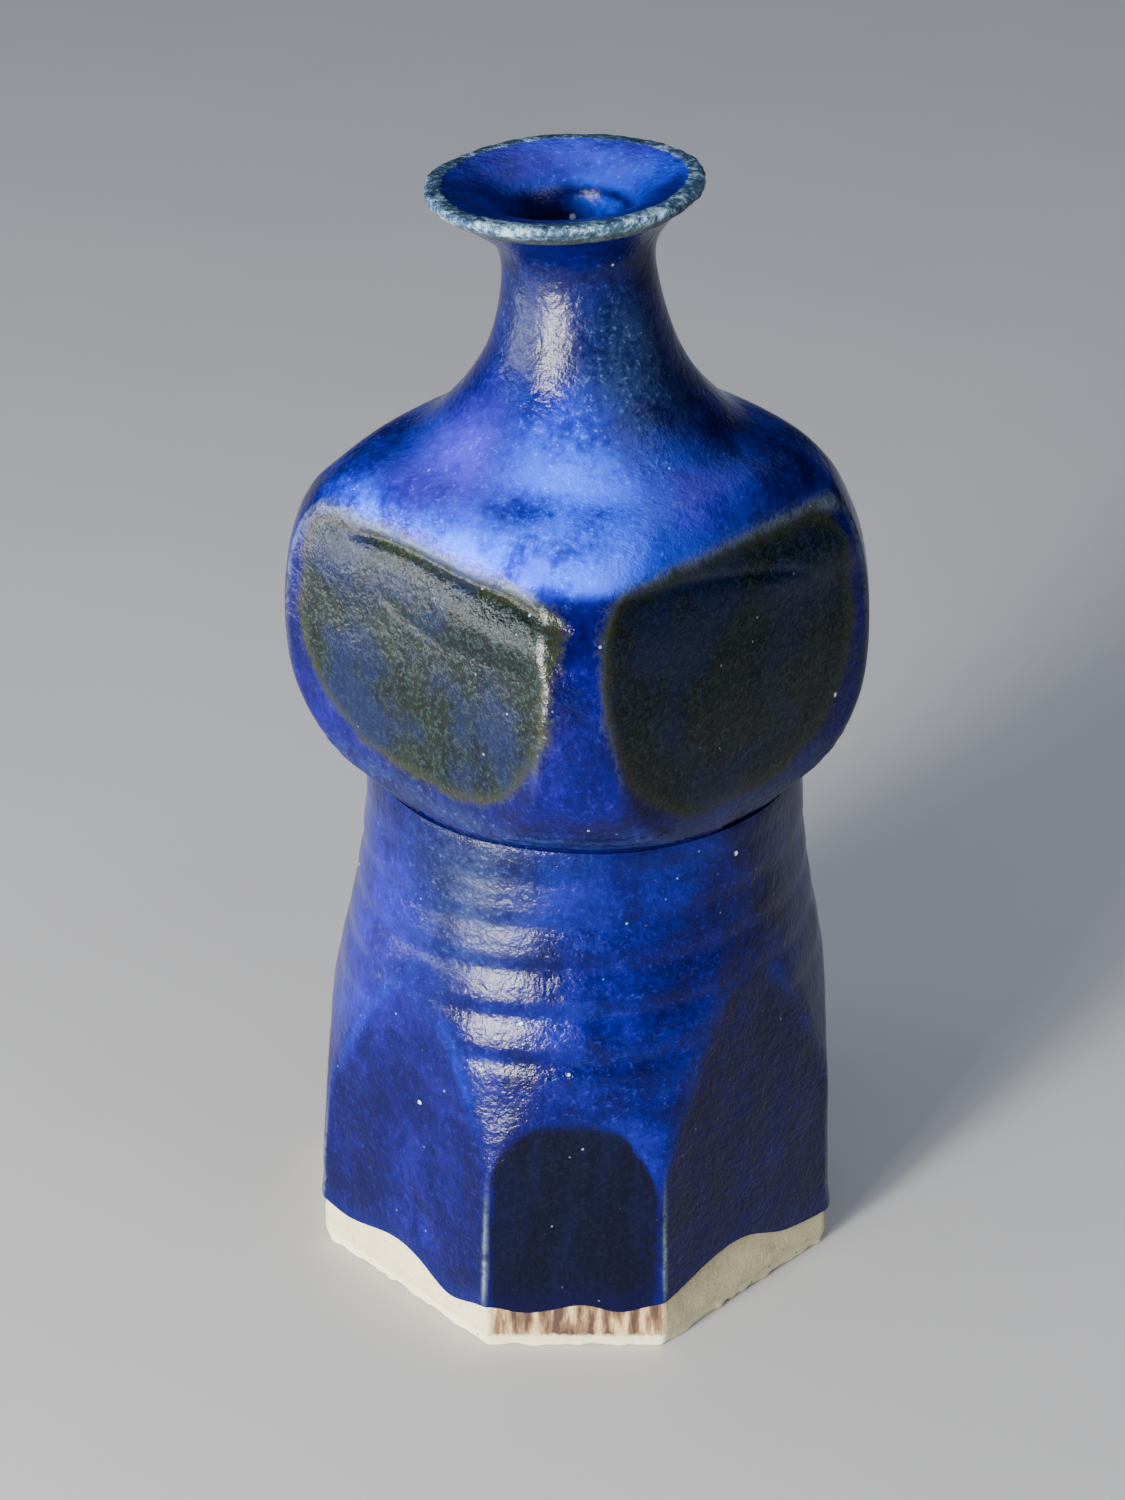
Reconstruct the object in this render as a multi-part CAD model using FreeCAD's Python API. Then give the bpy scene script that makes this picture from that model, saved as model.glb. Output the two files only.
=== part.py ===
import FreeCAD, Part
import math
import os

from FreeCAD import Vector

# A hand-thrown stoneware sake bottle. Three thrown sections stand on each other: a flaring foot,
# a bulb paddled square, and a narrow neck with a dished mouth. Stepped, slip-filled joints hold them.
# The foot is cut to eight facets. Glaze coats cover all but a band of clay at the foot, and dark
# iron-glaze panels fill the bulb's four flats and the foot's four narrow facets.
# The origin is the middle of the base, and +Z is up. A flat of the foot faces -Y, and so does
# a corner of the bulb. Outlines are lists of (distance from the axis, height).

# ---------------------------------------------------------------- driving dimensions, mm
HEIGHT = 166.5
MOUTH_RADIUS = 18.4
NECK_RADIUS = 10.35
THROAT_RADIUS = 7.2
BULB_RADIUS = 41.0          # over the corners of the bulb
WAIST_RADIUS = 31.3
WAIST_Z = 81.0
FOOT_RADIUS = 43.5          # as thrown, before the facets are cut

NARROW_FACET = 38.6         # axis to the four narrow facets, at the table
WIDE_FACET = 36.7           # axis to the four wide facets, at the table
FACET_LEAN = math.radians(2.95)
BASE_BEVEL = (0.6, 3.0)     # how far the foot's edge is scraped in, and how high

GLAZE = 0.6
LINING = 0.4
SLIP = 0.4
FLOOR_Z = 7.5
BASE_RECESS = (27.0, 1.5)   # radius and depth of the hollow under the foot

THROAT_Z = (147.5, 158.5)   # the straight stretch of the throat
SHOULDER_RIDGE = (28.9, 121.5)
LIP_TOP_RADIUS = 17.3

WAIST_SPIGOT = (28.6, 2.5)  # radius and height of the ring on the foot section
NECK_Z = 131.4
NECK_SPIGOT = (18.2, 1.6)   # radius and depth of the ring under the neck section
LINING_TOP = 134.0          # the neck's own coat starts here inside

GLAZE_LINE = 8.0            # mean height of the glaze's lower edge
BULB_PANEL = {"half_width": 24.0, "low": 87.5, "high": 122.6, "low_round": 15.0, "high_round": 7.0}
FOOT_PANEL = {"half_width": 12.3, "spring": 30.2, "crown": 38.7}

FAR = 70.0                  # beyond the bottle in every direction

FOOT_OUTLINE = [
    (FOOT_RADIUS + 0.4, -2.0),
    (41.0, 20.0),
    (37.2, 40.0),
    (33.6, 58.0),
    (WAIST_RADIUS + 0.4, 72.0),
    (WAIST_RADIUS, WAIST_Z),
    (WAIST_RADIUS, WAIST_Z + 3.0),
]

UPPER_OUTLINE = [
    (WAIST_RADIUS - 1.5, WAIST_Z - 1.5),
    (WAIST_RADIUS + 0.5, WAIST_Z + 0.9),
    (35.0, 84.2),
    (38.9, 89.5),
    (BULB_RADIUS - 0.1, 97.5),
    (BULB_RADIUS - 0.1, 106.0),
    (39.4, 115.0),
    (36.6, 121.0),
    (32.4, 125.2),
    (25.3, 129.0),
    (19.4, 133.0),
    (14.7, 139.0),
    (11.7, 146.0),
    (NECK_RADIUS, 154.0),
    (11.6, 158.4),
    (15.0, 162.1),
    (MOUTH_RADIUS - 0.8, HEIGHT - 2.1),
    (MOUTH_RADIUS, HEIGHT - 0.9),
    (LIP_TOP_RADIUS, HEIGHT),
]
LIP_POINTS = 3              # the last points of that outline are one arc over the lip

# half the bulb's width square to a flat, below and above the ridge between flat and shoulder
FLAT_OUTLINE = [(30.4, WAIST_Z - 1.0), (31.9, 84.0), (32.6, 92.0), (32.4, 102.0), (31.2, 112.0), SHOULDER_RIDGE]
BROW_OUTLINE = [SHOULDER_RIDGE, (27.7, 125.0), (25.6, 128.2), (22.6, 131.6), (19.2, 134.8)]

WALL_OUTLINE = [
    (30.2, FLOOR_Z + 7.5),
    (30.9, 25.0),
    (30.2, 42.0),
    (28.2, 62.0),
    (26.9, 75.0),
    (26.8, 83.0),
    (29.8, 87.0),
    (33.8, 92.0),
    (35.9, 99.0),
    (35.9, 106.0),
    (34.2, 113.5),
    (30.2, 119.5),
    (24.0, 124.6),
    (18.4, 128.4),
    (14.2, 132.6),
    (10.9, 137.6),
    (8.4, 143.0),
    (THROAT_RADIUS, THROAT_Z[0]),
]
DISH_OUTLINE = [
    (THROAT_RADIUS, THROAT_Z[1]),
    (7.8, 161.0),
    (9.4, 163.0),
    (12.4, 165.0),
    (LIP_TOP_RADIUS - 0.7, HEIGHT + 0.1),
]
FLOOR_RADIUS = 21.0
BULB_WALL = 5.0
CAVITY_SQUARE = (83.0, 127.0)   # the stretch of the inside that follows the bulb's flats

QUARTERS = (0, 90, 180, 270)
FLATS = {"front_left": 225, "front_right": 315, "back_right": 45, "back_left": 135}
SIDES = {"front": 270, "right": 0, "back": 90, "left": 180}


# ---------------------------------------------------------------- outlines
def inset(points, depth):
    """The outline moved towards the axis side by depth, square to itself at each point."""
    moved = []
    for i, (r, z) in enumerate(points):
        r0, z0 = points[max(i - 1, 0)]
        r1, z1 = points[min(i + 1, len(points) - 1)]
        length = math.hypot(r1 - r0, z1 - z0)
        moved.append((r - depth * (z1 - z0) / length, z + depth * (r1 - r0) / length))
    return moved


def at(point):
    """An outline's point in the XZ plane."""
    return Vector(point[0], 0, point[1])


def curve(points):
    """One smooth edge through an outline's points."""
    line = Part.BSplineCurve()
    line.interpolate([at(p) for p in points])
    return line.toShape()


def straight(points):
    """Straight edges from point to point."""
    return [Part.LineSegment(at(a), at(b)).toShape() for a, b in zip(points, points[1:])]


def turned(edges):
    """The solid that a closed outline makes when it is turned round the Z axis."""
    face = Part.Face(Part.Wire(edges))
    solid = Part.Solid(face.revolve(Vector(0, 0, 0), Vector(0, 0, 1), 360).Shells[0])
    if solid.Volume < 0:
        solid.reverse()
    return solid


def slab(low, high):
    """All that lies between two heights."""
    return Part.makeBox(2 * FAR, 2 * FAR, high - low, Vector(-FAR, -FAR, low))


def disc(radius, low, high):
    return Part.makeCylinder(radius, high - low, Vector(0, 0, low))


# ---------------------------------------------------------------- the facets and flats
def octagon(height, depth):
    """Corners of the cut foot at a height, with the surface taken in by depth."""
    scraped, bevel_height = BASE_BEVEL
    bevel = scraped * max(0.0, 1 - height / bevel_height)
    lean = height * math.tan(FACET_LEAN)
    narrow = NARROW_FACET - lean - depth - bevel
    wide = WIDE_FACET - lean - depth - bevel
    half = math.sqrt(2) * wide - narrow
    corners = []
    for turn in QUARTERS:
        c, s = math.cos(math.radians(turn)), math.sin(math.radians(turn))
        for x, y in ((narrow, -half), (narrow, half)):
            corners.append(Vector(x * c - y * s, x * s + y * c, height))
    return corners


def facet_tower(depth):
    """The eight leaning facets and the bevel under them, as one closed block."""
    rings = [octagon(z, depth) for z in (0.0, BASE_BEVEL[1], WAIST_Z + 1)]
    faces = [Part.Face(Part.makePolygon(ring + ring[:1])) for ring in (rings[0], rings[-1])]
    for low, high in zip(rings, rings[1:]):
        for i in range(len(low)):
            j = (i + 1) % len(low)
            faces.append(Part.Face(Part.makePolygon([low[i], low[j], high[j], high[i], low[i]])))
    solid = Part.Solid(Part.Shell(faces))
    if solid.Volume < 0:
        solid.reverse()
    return solid


def flat_loaf(turn, depth):
    """A block as wide as the bulb from flat to opposite flat, and long along them."""
    outline = inset(FLAT_OUTLINE + BROW_OUTLINE[1:], depth)
    ridge = len(FLAT_OUTLINE) - 1
    right = [curve(outline[:ridge + 1]), curve(outline[ridge:])]
    mirror = Vector(1, 0, 0)
    left = [edge.mirror(Vector(0, 0, 0), mirror) for edge in right]
    (low, low_z), (high, high_z) = outline[0], outline[-1]
    caps = straight([(-low, low_z), (low, low_z)]) + straight([(-high, high_z), (high, high_z)])
    face = Part.Face(Part.Wire(Part.__sortEdges__(right + left + caps)))
    face.translate(Vector(0, -FAR, 0))
    loaf = face.extrude(Vector(0, 2 * FAR, 0))
    loaf.rotate(Vector(0, 0, 0), Vector(0, 0, 1), turn)
    return loaf


def squared(solid, depth):
    """A turned solid brought in to the bulb's four flats."""
    return solid.common(flat_loaf(45, depth)).common(flat_loaf(135, depth))


# ---------------------------------------------------------------- whole forms
def foot_form(depth):
    """The outside of the foot, filled, with its surface taken in by depth."""
    outline = inset(FOOT_OUTLINE, depth)
    edges = [curve(outline)] + straight([outline[-1], (0, outline[-1][1]), (0, outline[0][1]), outline[0]])
    return turned(edges).common(facet_tower(depth)).common(slab(0, WAIST_Z))


def upper_turned(depth):
    """The outside of bulb, neck and mouth as thrown, filled."""
    outline = inset(UPPER_OUTLINE, depth)
    outline[-1] = (LIP_TOP_RADIUS, HEIGHT - depth)
    body, lip = outline[:-LIP_POINTS + 1], outline[-LIP_POINTS:]
    arc = Part.Arc(*[at(p) for p in lip]).toShape()
    ends = straight([lip[-1], (0, lip[-1][1]), (0, outline[0][1]), outline[0]])
    return turned([curve(body), arc] + ends)


def bulb_form(depth):
    return squared(upper_turned(depth).common(slab(WAIST_Z, NECK_Z)), depth)


def neck_form(depth):
    return upper_turned(depth).common(slab(NECK_Z, HEIGHT + 1))


def cavity(depth):
    """The space inside, up through the throat to the mouth. A negative depth is the clay's, under the lining."""
    wall, dish = inset(WALL_OUTLINE, depth), inset(DISH_OUTLINE, depth)
    throat = THROAT_RADIUS - depth
    wall[-1], dish[0] = (throat, THROAT_Z[0]), (throat, THROAT_Z[1])
    floor = FLOOR_Z + depth
    knee = (FLOOR_RADIUS, floor)
    corner = Part.Arc(at(knee), at((wall[0][0] - 2.2, floor + 2.6)), at(wall[0])).toShape()
    top = (dish[-1][0], HEIGHT + 2)
    edges = straight([(0, floor), knee]) + [corner, curve(wall)] + straight([wall[-1], dish[0]])
    edges += [curve(dish)] + straight([dish[-1], top, (0, top[1]), (0, floor)])
    whole = turned(edges)
    low, high = CAVITY_SQUARE
    below, above = whole.common(slab(0, low)), whole.common(slab(high, HEIGHT + 3))
    middle = squared(whole.common(slab(low, high)), BULB_WALL + depth)
    return below.fuse(middle).fuse(above)


# ---------------------------------------------------------------- glaze edges and panels
def glaze_line(angle):
    """Height of the glaze's lower edge round the foot: higher on the wide facets, and a little uneven."""
    return GLAZE_LINE + 1.3 * math.cos(4 * (angle - math.radians(45))) + 0.6 * math.cos(3 * angle + 0.7)


def bare_band():
    """All that lies under the glaze's wavy lower edge."""
    steps = 48
    rings = []
    for radius in (NARROW_FACET / 2, FOOT_RADIUS + 2):
        points = []
        for i in range(steps):
            angle = 2 * math.pi * i / steps
            points.append(Vector(radius * math.cos(angle), radius * math.sin(angle), glaze_line(angle)))
        ring = Part.BSplineCurve()
        ring.interpolate(points, True)
        rings.append(ring.toShape())
    sheet = Part.makeRuledSurface(rings[0], rings[1])
    return sheet.extrude(Vector(0, 0, -2 * GLAZE_LINE))


def prism(edges, turn):
    """An outline drawn in the plane of a side, carried outwards through that side's glaze."""
    face = Part.Face(Part.Wire(edges))
    block = face.extrude(Vector(0, -FAR, 0))
    block.rotate(Vector(0, 0, 0), Vector(0, 0, 1), turn - 270)
    return block


def bulb_panel_prism(turn):
    """A rounded panel, with larger rounds at its lower corners."""
    w, low, high = BULB_PANEL["half_width"], BULB_PANEL["low"], BULB_PANEL["high"]
    a, b = BULB_PANEL["low_round"], BULB_PANEL["high_round"]
    ease = 1 - math.sqrt(0.5)

    def arc(start, middle, end):
        return Part.Arc(at(start), at(middle), at(end)).toShape()

    edges = straight([(-w + a, low), (w - a, low)])
    edges.append(arc((w - a, low), (w - a * ease, low + a * ease), (w, low + a)))
    edges += straight([(w, low + a), (w, high - b)])
    edges.append(arc((w, high - b), (w - b * ease, high - b * ease), (w - b, high)))
    edges += straight([(w - b, high), (-w + b, high)])
    edges.append(arc((-w + b, high), (-w + b * ease, high - b * ease), (-w, high - b)))
    edges += straight([(-w, high - b), (-w, low + a)])
    edges.append(arc((-w, low + a), (-w + a * ease, low + a * ease), (-w + a, low)))
    return prism(edges, turn)


def foot_panel_prism(turn):
    """An arched panel that runs down past the glaze's edge."""
    w, spring, crown = FOOT_PANEL["half_width"], FOOT_PANEL["spring"], FOOT_PANEL["crown"]
    low = -GLAZE_LINE
    edges = straight([(-w, spring), (-w, low), (w, low), (w, spring)])
    edges.append(Part.Arc(at((w, spring)), at((0, crown)), at((-w, spring))).toShape())
    return prism(edges, turn)


# ---------------------------------------------------------------- clay sections and their slip joints
def clay_pieces(hollow):
    """Foot, bulb and neck sections, and the slip in the two stepped joints between them."""
    waist_r, waist_h = WAIST_SPIGOT
    neck_r, neck_h = NECK_SPIGOT
    foot, bulb, neck = foot_form(GLAZE), bulb_form(GLAZE), neck_form(GLAZE)

    recess_r, recess_h = BASE_RECESS
    recess = Part.makeCone(recess_r, recess_r - 2 * recess_h, recess_h)
    waist_spigot = disc(waist_r, WAIST_Z - 10, WAIST_Z + waist_h)
    foot_section = foot.fuse(waist_spigot).cut(recess).cut(hollow)

    waist_socket = disc(waist_r + SLIP, WAIST_Z, WAIST_Z + waist_h + SLIP).fuse(slab(WAIST_Z, WAIST_Z + SLIP))
    waist_slip = bulb.common(waist_socket).cut(waist_spigot).cut(hollow)

    neck_socket = disc(neck_r + SLIP, NECK_Z - neck_h, NECK_Z)
    bulb_section = bulb.cut(waist_socket).cut(neck_socket).cut(hollow)

    neck_spigot = disc(neck_r, NECK_Z - neck_h + SLIP, NECK_Z + 3)
    upper_neck = neck.common(slab(NECK_Z + SLIP, HEIGHT + 1))
    neck_section = upper_neck.fuse(neck_spigot).cut(hollow)
    neck_slip = neck.common(slab(NECK_Z, NECK_Z + SLIP)).fuse(neck_socket).cut(neck_spigot).cut(hollow)
    return {
        "foot_section": foot_section,
        "bulb_section": bulb_section,
        "neck_section": neck_section,
        "waist_slip_seam": waist_slip,
        "neck_slip_seam": neck_slip,
    }


# ---------------------------------------------------------------- glaze coats
def glaze_pieces(hollow, lined):
    """The blue coats on the three sections, the lining, and the eight dark panels."""
    pieces = {}
    foot_skin = foot_form(0).cut(foot_form(GLAZE)).cut(bare_band())
    for side, turn in SIDES.items():
        block = foot_panel_prism(turn)
        pieces["foot_panel_" + side] = foot_skin.common(block)
        foot_skin = foot_skin.cut(block)
    pieces["foot_glaze"] = foot_skin

    bulb_skin = bulb_form(0).cut(bulb_form(GLAZE))
    for side, turn in FLATS.items():
        block = bulb_panel_prism(turn)
        pieces["bulb_panel_" + side] = bulb_skin.common(block)
        bulb_skin = bulb_skin.cut(block)
    pieces["bulb_glaze"] = bulb_skin

    neck_clay = neck_form(GLAZE).cut(hollow)
    below_coat = disc(FOOT_PANEL["half_width"] + 4, NECK_Z - 5, LINING_TOP)
    pieces["neck_glaze"] = neck_form(0).cut(lined).cut(neck_clay).cut(below_coat)
    pieces["lining_glaze"] = hollow.cut(lined).common(slab(0, LINING_TOP))
    return pieces


def write(name, shape):
    """Writes one sub-part, and prints what it is made of."""
    solids = [s for s in shape.Solids if s.Volume > 0.01]
    result = solids[0] if len(solids) == 1 else Part.makeCompound(solids)
    result.exportStep("parts/" + name + ".step")
    box = result.BoundBox
    print(f"{name:26s} solids {len(solids)}  volume {result.Volume:10.1f} mm3  valid {result.isValid()}"
          f"  z {box.ZMin:7.2f} to {box.ZMax:7.2f}  x {box.XMin:7.2f} to {box.XMax:7.2f}")
    return result


def main():
    os.makedirs("parts", exist_ok=True)
    hollow, lined = cavity(-LINING), cavity(0)
    pieces = clay_pieces(hollow)
    pieces.update(glaze_pieces(hollow, lined))
    made = {name: write(name, shape) for name, shape in sorted(pieces.items())}
    to_neck = lined.common(slab(0, THROAT_Z[0])).Volume
    print(f"capacity to the foot of the throat: {to_neck / 1000:.0f} ml")
    shapes = list(made.values())
    joined = shapes[0].fuse(shapes[1:])
    total = sum(shape.Volume for shape in shapes)
    print(f"sub-parts added up: {total / 1000:.2f} cm3, joined into one: {joined.Volume / 1000:.2f} cm3")


main()
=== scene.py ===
import math

import bpy
import numpy as np
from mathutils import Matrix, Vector


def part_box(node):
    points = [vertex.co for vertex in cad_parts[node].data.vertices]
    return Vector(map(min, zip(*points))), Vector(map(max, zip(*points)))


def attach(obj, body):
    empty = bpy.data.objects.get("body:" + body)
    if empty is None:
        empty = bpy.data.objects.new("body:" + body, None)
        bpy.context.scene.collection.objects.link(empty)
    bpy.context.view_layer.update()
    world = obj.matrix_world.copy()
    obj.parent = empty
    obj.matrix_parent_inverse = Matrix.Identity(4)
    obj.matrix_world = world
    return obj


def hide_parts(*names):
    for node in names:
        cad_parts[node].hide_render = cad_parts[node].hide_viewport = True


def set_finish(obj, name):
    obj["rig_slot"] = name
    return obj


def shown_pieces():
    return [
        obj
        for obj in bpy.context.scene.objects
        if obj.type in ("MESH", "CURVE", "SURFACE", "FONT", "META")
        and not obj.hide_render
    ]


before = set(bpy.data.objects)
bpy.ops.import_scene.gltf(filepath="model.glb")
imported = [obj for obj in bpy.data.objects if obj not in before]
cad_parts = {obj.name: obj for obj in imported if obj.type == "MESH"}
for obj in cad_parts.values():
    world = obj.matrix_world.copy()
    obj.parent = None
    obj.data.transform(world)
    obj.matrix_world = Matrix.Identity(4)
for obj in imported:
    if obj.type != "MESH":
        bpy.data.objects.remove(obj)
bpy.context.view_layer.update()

# The glaze coats, the clay under them and the lining are closed shells on one shared hand-made form, so
# that every coat meets its neighbour edge to edge. Lengths are in millimetres until a mesh is made.
# theta runs round the Z axis from +X, and -Y is the front. t is the distance along the upper outline.

MM = 1000.0


def node_z(node, end):
    """Height of a CAD node's lowest (0) or highest (1) point."""
    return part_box(node)[end].z * MM


WAIST_Z = node_z("foot_glaze", 1)
NECK_Z = node_z("bulb_glaze", 1)
LINING_TOP = node_z("lining_glaze", 1)
LINING_LOW = node_z("lining_glaze", 0)
SPIGOT_TOP = node_z("foot_section", 1)
NECK_SOCKET_Z = node_z("neck_slip_seam", 0)

# thicknesses of the coats and of the slip in the joints
GLAZE = 0.6
LINING = 0.4
SLIP = 0.4

# directions in degrees of the foot's narrow facets and of the bulb's flats, and how near in radians to
# one of them a point can be on it
SIDES = {"front": 270, "right": 0, "back": 90, "left": 180}
FLATS = {"front_left": 225, "front_right": 315, "back_right": 45, "back_left": 135}
NEAR_FACET = 0.8
NEAR_FLAT = 1.0

# the grid of the meshes: columns round the form, height of a row, and the short steps that slopes are
# taken over, in mm along the outline and in radians round it
COLS = 640
BODY_ROW = 0.5
NECK_ROW = 0.42
NUDGE = 0.15
BODY_NUDGE = NUDGE / 36
NECK_NUDGE = NUDGE / 14

# stand-ins for a facet that is not met, and for a point that is in no panel
FAR = 99.0
OUTSIDE = -50.0


# ---- curves and smooth steps
def spline(points):
    """Natural cubic spline of the second column over the first."""
    x, y = np.array(points, float).T
    n, h = len(x), np.diff(x)
    a, b = np.eye(n), np.zeros(n)
    for i in range(1, n - 1):
        a[i, i - 1:i + 2] = h[i - 1], 2 * (h[i - 1] + h[i]), h[i]
        b[i] = 6 * ((y[i + 1] - y[i]) / h[i] - (y[i] - y[i - 1]) / h[i - 1])
    m = np.linalg.solve(a, b)

    def value(q):
        q = np.clip(np.asarray(q, float), x[0], x[-1])
        i = np.clip(np.searchsorted(x, q) - 1, 0, n - 2)
        u, v, k = q - x[i], x[i + 1] - q, h[i]
        return ((m[i] * v**3 + m[i + 1] * u**3) / (6 * k) + (y[i] / k - m[i] * k / 6) * v
                + (y[i + 1] / k - m[i + 1] * k / 6) * u)
    return value


def outline(points):
    """A smooth (r, z) line through points, as a function of the distance along it, and its length."""
    p = np.array(points, float)
    chord = np.concatenate([[0], np.cumsum(np.hypot(*np.diff(p, axis=0).T))])
    r, z = spline(np.column_stack([chord, p[:, 0]])), spline(np.column_stack([chord, p[:, 1]]))
    t = np.linspace(0, chord[-1], 40001)
    arc = np.concatenate([[0], np.cumsum(np.hypot(np.diff(r(t)), np.diff(z(t))))])
    return (lambda s: r(np.interp(s, arc, t))), (lambda s: z(np.interp(s, arc, t))), arc[-1]


def step(low, high, value):
    """0 below low and 1 above high, with a smooth rise between."""
    x = np.clip((np.asarray(value, float) - low) / (high - low), 0, 1)
    return x * x * (3 - 2 * x)


def bump(value, centre, width):
    """1 at centre, falling away smoothly over width on both sides."""
    return np.exp(-((np.asarray(value, float) - centre) / width)**2)


def lower_of(a, b, soft):
    """The smaller of a and b, rounded over where they are within soft of each other."""
    h = np.clip(0.5 + 0.5 * (b - a) / soft, 0, 1)
    return b + (a - b) * h - soft * h * (1 - h)


def turn_from(theta, degrees):
    """Angle from a direction, between -pi and pi."""
    return (theta - math.radians(degrees) + math.pi) % (2 * math.pi) - math.pi


def ripple(seed, count, scale):
    """A smooth, repeatable unevenness of x, y, z in mm, about -1 to 1, with lumps about scale wide."""
    rng = np.random.default_rng(seed)
    way = rng.normal(size=(count, 3))
    way /= np.linalg.norm(way, axis=1)[:, None]
    wave = way * (2 * math.pi / scale) * rng.uniform(0.6, 1.6, (count, 1))
    phase = rng.uniform(0, 2 * math.pi, count)

    def value(x, y, z):
        total = np.zeros(np.broadcast(x, y, z).shape)
        for (a, b, c), p in zip(wave, phase):
            total += np.sin(a * x + b * y + c * z + p)
        return total / math.sqrt(count)
    return value


# ---- the form
# radius of the thrown foot over height, before the facets are cut
FOOT_R = spline([(-1, 43.6), (10, 42.4), (20, 41.0), (30, 39.2), (40, 37.2), (49, 35.4), (58, 33.6),
                 (67, 32.2), (74, 31.6), (80, 31.35)])
# distance of each wide and narrow facet from the axis at the table, by direction, and how they lean
WIDE = {225: 36.85, 315: 36.4, 45: 36.6, 135: 36.6}
NARROW = {270: 38.5, 0: 38.5, 90: 38.6, 180: 39.2}
WIDE_LEAN, NARROW_LEAN = math.tan(math.radians(3.0)), math.tan(math.radians(2.9))
# distance of the bulb's flats from the axis, below and above the ridge where they turn into the shoulder
RIDGE_Z = 121.5
RIDGE_R = 28.9
LOAF_TOP = 136.0
LOAF_LOW = spline([(78, 29.6), (84, 31.9), (92, 32.6), (102, 32.4), (111, 31.25), (115.5, 30.55),
                   (118.7, 29.75), (RIDGE_Z, RIDGE_R)])
LOAF_HIGH = spline([(RIDGE_Z, RIDGE_R), (125, 27.6), (128, 25.8), (131.5, 23.2), (LOAF_TOP, 18.6)])
lumps = ripple(3, 9, 30)
dimples = ripple(8, 14, 9)
pats = ripple(12, 16, 5)
grit = ripple(31, 26, 2.3)

THROAT_R = 7.2
LINING_TOP_R = 13.3
# (r, z) of bulb, neck, lip, dished mouth and throat, from the waist to where the lining starts
UPPER = [
    (31.15, WAIST_Z), (32.0, 82.0), (34.9, 84.0), (38.1, 88.0), (40.1, 93.0), (41.0, 100.5), (40.7, 108.0),
    (39.4, 115.0), (37.2, 120.0), (34.7, 123.5), (31.8, 126.1), (27.7, 128.2), (22.9, 130.0),
    (19.35, 133.0), (16.0, 137.0), (13.55, 141.0), (11.7, 146.0), (10.5, 152.0), (10.35, 155.0),
    (11.1, 157.8), (12.9, 160.0), (15.2, 162.0), (17.3, 163.5), (18.4, 164.6), (18.3, 165.25),
    (17.3, 165.55), (15.0, 165.25), (12.4, 164.5), (10.0, 163.1), (8.2, 161.3), (7.4, 159.2),
    (THROAT_R, 157.0), (THROAT_R, 147.5), (8.4, 143.0), (10.9, 137.6), (LINING_TOP_R, LINING_TOP),
]
UPPER_R, UPPER_Z, UPPER_LENGTH = outline(UPPER)
FINE_STEPS = 20000


def seam_distance():
    """Distance along the upper outline where it first stands at the neck's seam."""
    t = np.linspace(0, UPPER_LENGTH / 2, FINE_STEPS + 1)
    return t[np.argmax(UPPER_Z(t) >= NECK_Z)]


def lip_distance():
    """Distance along the upper outline of its highest point, the top of the lip."""
    highest = np.argmax(UPPER_Z(np.linspace(SEAM_T, UPPER_LENGTH, FINE_STEPS + 1)))
    return SEAM_T + (UPPER_LENGTH - SEAM_T) * highest / FINE_STEPS


SEAM_T = seam_distance()
LIP_T = lip_distance()

# (degrees round Z, height) of the glaze's lower edge
GLAZE_EDGE = spline([
    (-10, 7.0), (0, 7.4), (11, 6.7), (24, 8.4), (42, 10.3), (58, 8.6), (74, 6.7), (90, 7.7), (105, 6.6),
    (121, 8.8), (138, 10.5), (156, 8.2), (172, 7.0), (186, 8.0), (197, 8.1), (206, 7.5), (217, 9.0),
    (226, 9.1), (233, 7.5), (240, 5.8), (247, 7.0), (252, 7.7), (257, 6.9), (263, 7.0), (272, 8.1),
    (279, 7.0), (285, 7.9), (291, 8.8), (297, 9.9), (305, 11.0), (316, 10.7), (327, 7.7), (332, 7.0),
    (340, 6.3), (350, 7.0), (360, 7.4), (371, 6.7),
])


def glaze_line(theta):
    """Height of the glaze's lower edge round the foot, uneven as a dipped edge is."""
    return GLAZE_EDGE(np.degrees(theta) % 360)


# rise of the thrower's spiral in a turn, where it starts, and the side on which its ridges are highest
THROW_PITCH = 6.95
THROW_PHASE = 0.62
THROW_SIDE = math.radians(246)


def throwing(theta, z):
    """Height in mm of the ridges that the thrower's finger left, uneven round the foot."""
    turn = z / THROW_PITCH - theta / (2 * math.pi) + 0.1 * np.sin(2 * theta + 1) + THROW_PHASE
    wave = 0.8 * np.sin(2 * math.pi * turn) + 0.2 * np.sin(4 * math.pi * turn + 0.8)
    height = 0.03 + 0.20 * step(43, 50, z) * (1 - 0.6 * step(66, 74, z)) + 0.07 * bump(z, 55, 6)
    side = 0.35 + 0.65 * (0.5 + 0.5 * np.cos(2 * (theta - THROW_SIDE)))
    return height * side * wave


def facet_edge(theta, z, table, lean):
    """Distance from the axis to the nearest of four leaning facets, along theta."""
    least = 0.3
    reach = np.full(np.broadcast(theta, z).shape, FAR)
    for turn, distance in table.items():
        c = np.cos(turn_from(theta, turn))
        facet = np.where(c > least, (distance - z * lean) / np.maximum(c, least), FAR)
        reach = np.minimum(reach, facet)
    return reach


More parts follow.
